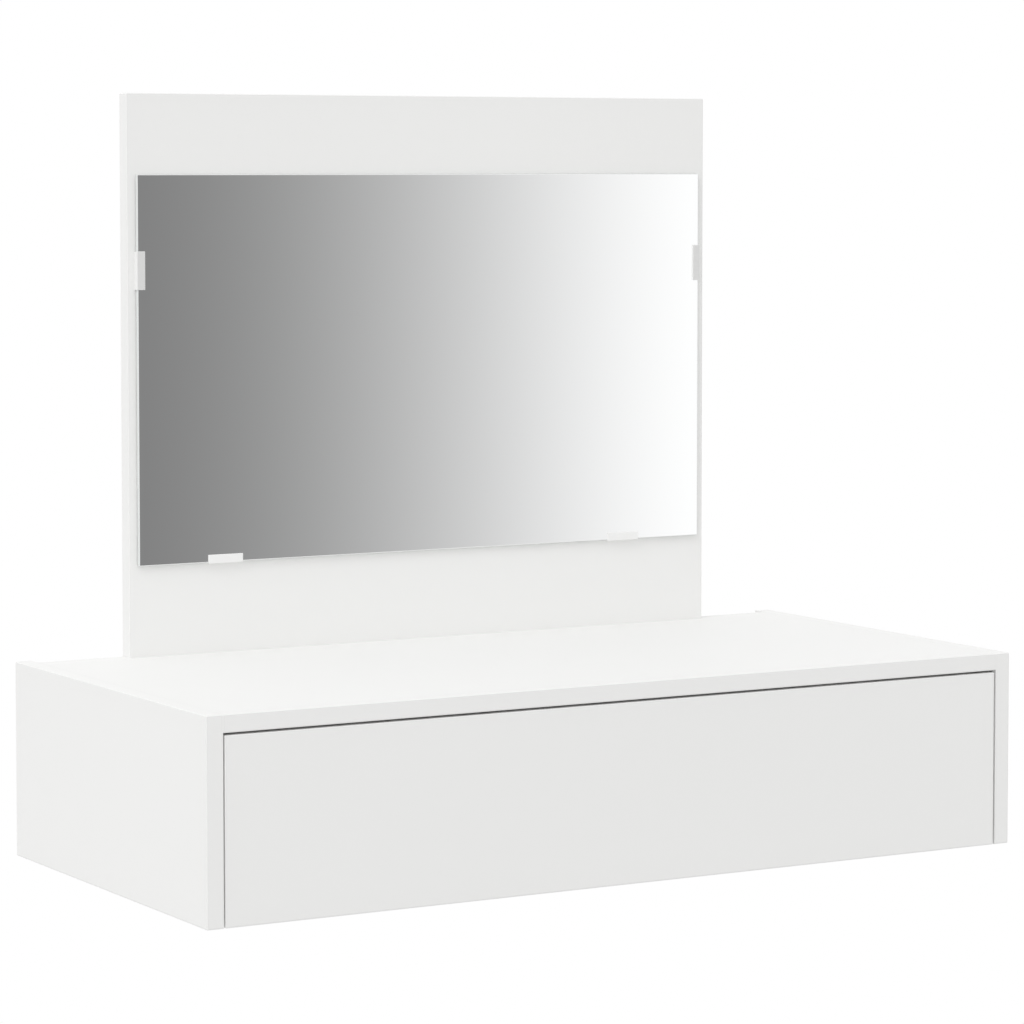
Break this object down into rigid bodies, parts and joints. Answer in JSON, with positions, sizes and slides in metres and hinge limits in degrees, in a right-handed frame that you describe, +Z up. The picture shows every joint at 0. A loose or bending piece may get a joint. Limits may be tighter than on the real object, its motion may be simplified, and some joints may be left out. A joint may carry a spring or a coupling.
{
  "type": "wall-hung dressing table",
  "caption": "White wall-hung dressing table: a shallow box with a wide flush drawer, and an upright board with a frameless mirror held in clips.",
  "frame": {"origin": "middle of the four wall holes, on the wall plane", "axes": "+X to the right seen from the front, +Y into the wall, +Z up; the front faces -Y"},
  "size_m": [0.8, 0.39, 0.675],
  "materials": {
    "white_board": "white melamine-faced chipboard, satin, banded edges",
    "drawer_board": "white melamine-faced chipboard, satin",
    "hardboard": "thin hardboard with a white face",
    "mirror": "silvered float glass with ground edges",
    "clip_plastic": "white moulded plastic",
    "rail_enamel": "white epoxy on rolled steel",
    "nylon": "natural nylon",
    "zinc_plate": "bright zinc plate",
    "cast_zinc": "dull cast zinc",
    "beech": "plain beech"
  },
  "bodies": {
    "carcass": {"left_side_panel": "white_board", "right_side_panel": "white_board", "top_panel": "white_board", "back_panel": "white_board", "panel_cam_locks": "cast_zinc", "panel_cam_bolts": "zinc_plate", "panel_dowels": "beech", "mirror_board": "white_board", "mirror_board_dowels": "beech", "mirror_board_screws": "zinc_plate", "mirror_glass": "mirror", "left_mirror_clip": "clip_plastic", "right_mirror_clip": "clip_plastic", "lower_left_mirror_clip": "clip_plastic", "lower_right_mirror_clip": "clip_plastic", "mirror_clip_screws": "zinc_plate", "left_cabinet_rail": "rail_enamel", "right_cabinet_rail": "rail_enamel", "cabinet_rail_screws": "zinc_plate", "cabinet_roller_pins": "zinc_plate"},
    "drawer": {"drawer_front": "white_board", "left_drawer_side": "drawer_board", "right_drawer_side": "drawer_board", "drawer_back": "drawer_board", "drawer_bottom": "hardboard", "drawer_cam_locks": "cast_zinc", "drawer_cam_bolts": "zinc_plate", "drawer_back_screws": "zinc_plate", "left_drawer_rail": "rail_enamel", "right_drawer_rail": "rail_enamel", "drawer_rail_screws": "zinc_plate", "drawer_roller_pins": "zinc_plate"},
    "left_cabinet_roller": {"left_cabinet_roller": "nylon"},
    "right_cabinet_roller": {"right_cabinet_roller": "nylon"},
    "left_drawer_roller": {"left_drawer_roller": "nylon"},
    "right_drawer_roller": {"right_drawer_roller": "nylon"}
  },
  "joints": [
    {"name": "drawer_slide", "type": "slide", "parent": "carcass", "child": "drawer", "axis": [0, -1, 0], "range_m": [0, 0.28]},
    {"name": "left_cabinet_roller_turn", "type": "hinge", "parent": "carcass", "child": "left_cabinet_roller", "pos_m": [-0.3798, -0.353, -0.0265], "axis": [1, 0, 0], "range_deg": [0, 1800]},
    {"name": "right_cabinet_roller_turn", "type": "hinge", "parent": "carcass", "child": "right_cabinet_roller", "pos_m": [0.3798, -0.353, -0.0265], "axis": [1, 0, 0], "range_deg": [0, 1800]},
    {"name": "left_drawer_roller_turn", "type": "hinge", "parent": "drawer", "child": "left_drawer_roller", "pos_m": [-0.3777, -0.05, -0.0265], "axis": [1, 0, 0], "range_deg": [0, 1800]},
    {"name": "right_drawer_roller_turn", "type": "hinge", "parent": "drawer", "child": "right_drawer_roller", "pos_m": [0.3777, -0.05, -0.0265], "axis": [1, 0, 0], "range_deg": [0, 1800]}
  ],
  "couplings": [
    {"joint": "left_cabinet_roller_turn", "follows": "drawer_slide", "rad_per_m": 111.11},
    {"joint": "right_cabinet_roller_turn", "follows": "drawer_slide", "rad_per_m": 111.11},
    {"joint": "left_drawer_roller_turn", "follows": "drawer_slide", "rad_per_m": 111.11},
    {"joint": "right_drawer_roller_turn", "follows": "drawer_slide", "rad_per_m": 111.11}
  ]
}
